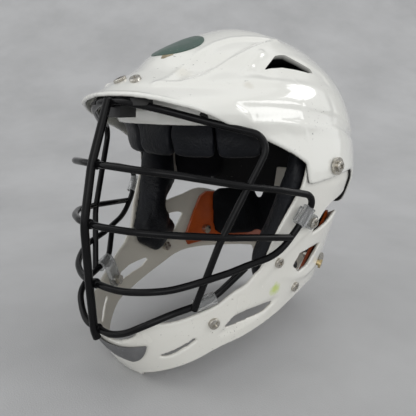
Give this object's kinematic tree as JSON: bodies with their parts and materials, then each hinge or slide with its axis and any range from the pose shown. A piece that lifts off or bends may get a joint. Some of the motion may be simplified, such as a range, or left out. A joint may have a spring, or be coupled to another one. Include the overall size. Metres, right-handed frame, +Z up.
{
  "type": "lacrosse helmet",
  "caption": "Hard-shell field lacrosse helmet with visor peak, moulded chin guard, black wire face guard, inner pads and a tilting nape cradle.",
  "frame": {"origin": "middle of the helmet's box in plan, on the surface it rests on", "axes": "+Z up, front is -Y, wearer's left is +X"},
  "size_m": [0.2128, 0.2848, 0.2617],
  "materials": {
    "shell_plastic": "satin gloss, warm white, lightly scuffed",
    "guard_plastic": "satin gloss, slightly warmer white",
    "cage_steel": "gloss black powder coat",
    "nickel_steel": "nickel plated",
    "clear_clip_plastic": "clear, smoky where it wraps the wire",
    "black_clip_plastic": "satin black",
    "bumper_rubber": "matte black rubber",
    "pad_vinyl": "wrinkled black vinyl over foam",
    "liner_foam": "black textile over foam",
    "cradle_plastic": "rusty orange moulding",
    "brass": "worn brass",
    "badge_green": "dark green film, bare",
    "badge_grey": "mid grey plate, bare"
  },
  "bodies": {
    "helmet": {"shell": "shell_plastic", "chin_guard": "guard_plastic", "chin_plate": "badge_grey", "cage_top_hoop": "cage_steel", "cage_side_hoop": "cage_steel", "cage_third_bar": "cage_steel", "cage_bottom_bar": "cage_steel", "cage_center_bar": "cage_steel", "shell_screws": "nickel_steel", "cup_washers": "nickel_steel", "clip_screws": "nickel_steel", "clip_nuts": "nickel_steel", "side_clips": "clear_clip_plastic", "chin_clips": "clear_clip_plastic", "jaw_screws": "nickel_steel", "jaw_nuts": "nickel_steel", "cheek_pad_left": "pad_vinyl", "cheek_pad_right": "pad_vinyl", "temple_pad_left": "liner_foam", "temple_pad_right": "liner_foam", "brow_pad": "pad_vinyl", "crown_pads": "liner_foam", "back_pad": "liner_foam", "cradle_rivets": "nickel_steel", "strap_studs": "brass", "visor_bumpers": "bumper_rubber", "visor_clip": "black_clip_plastic", "visor_screws": "nickel_steel", "front_decal": "badge_green"},
    "cradle": {"fit_cradle": "cradle_plastic", "nape_pad": "pad_vinyl"}
  },
  "joints": [
    {"name": "cradle_tilt", "type": "hinge", "parent": "helmet", "child": "cradle", "pos_m": [0, 0.05248, 0.06692], "axis": [1, 0, 0], "range_deg": [-4, 4]}
  ]
}
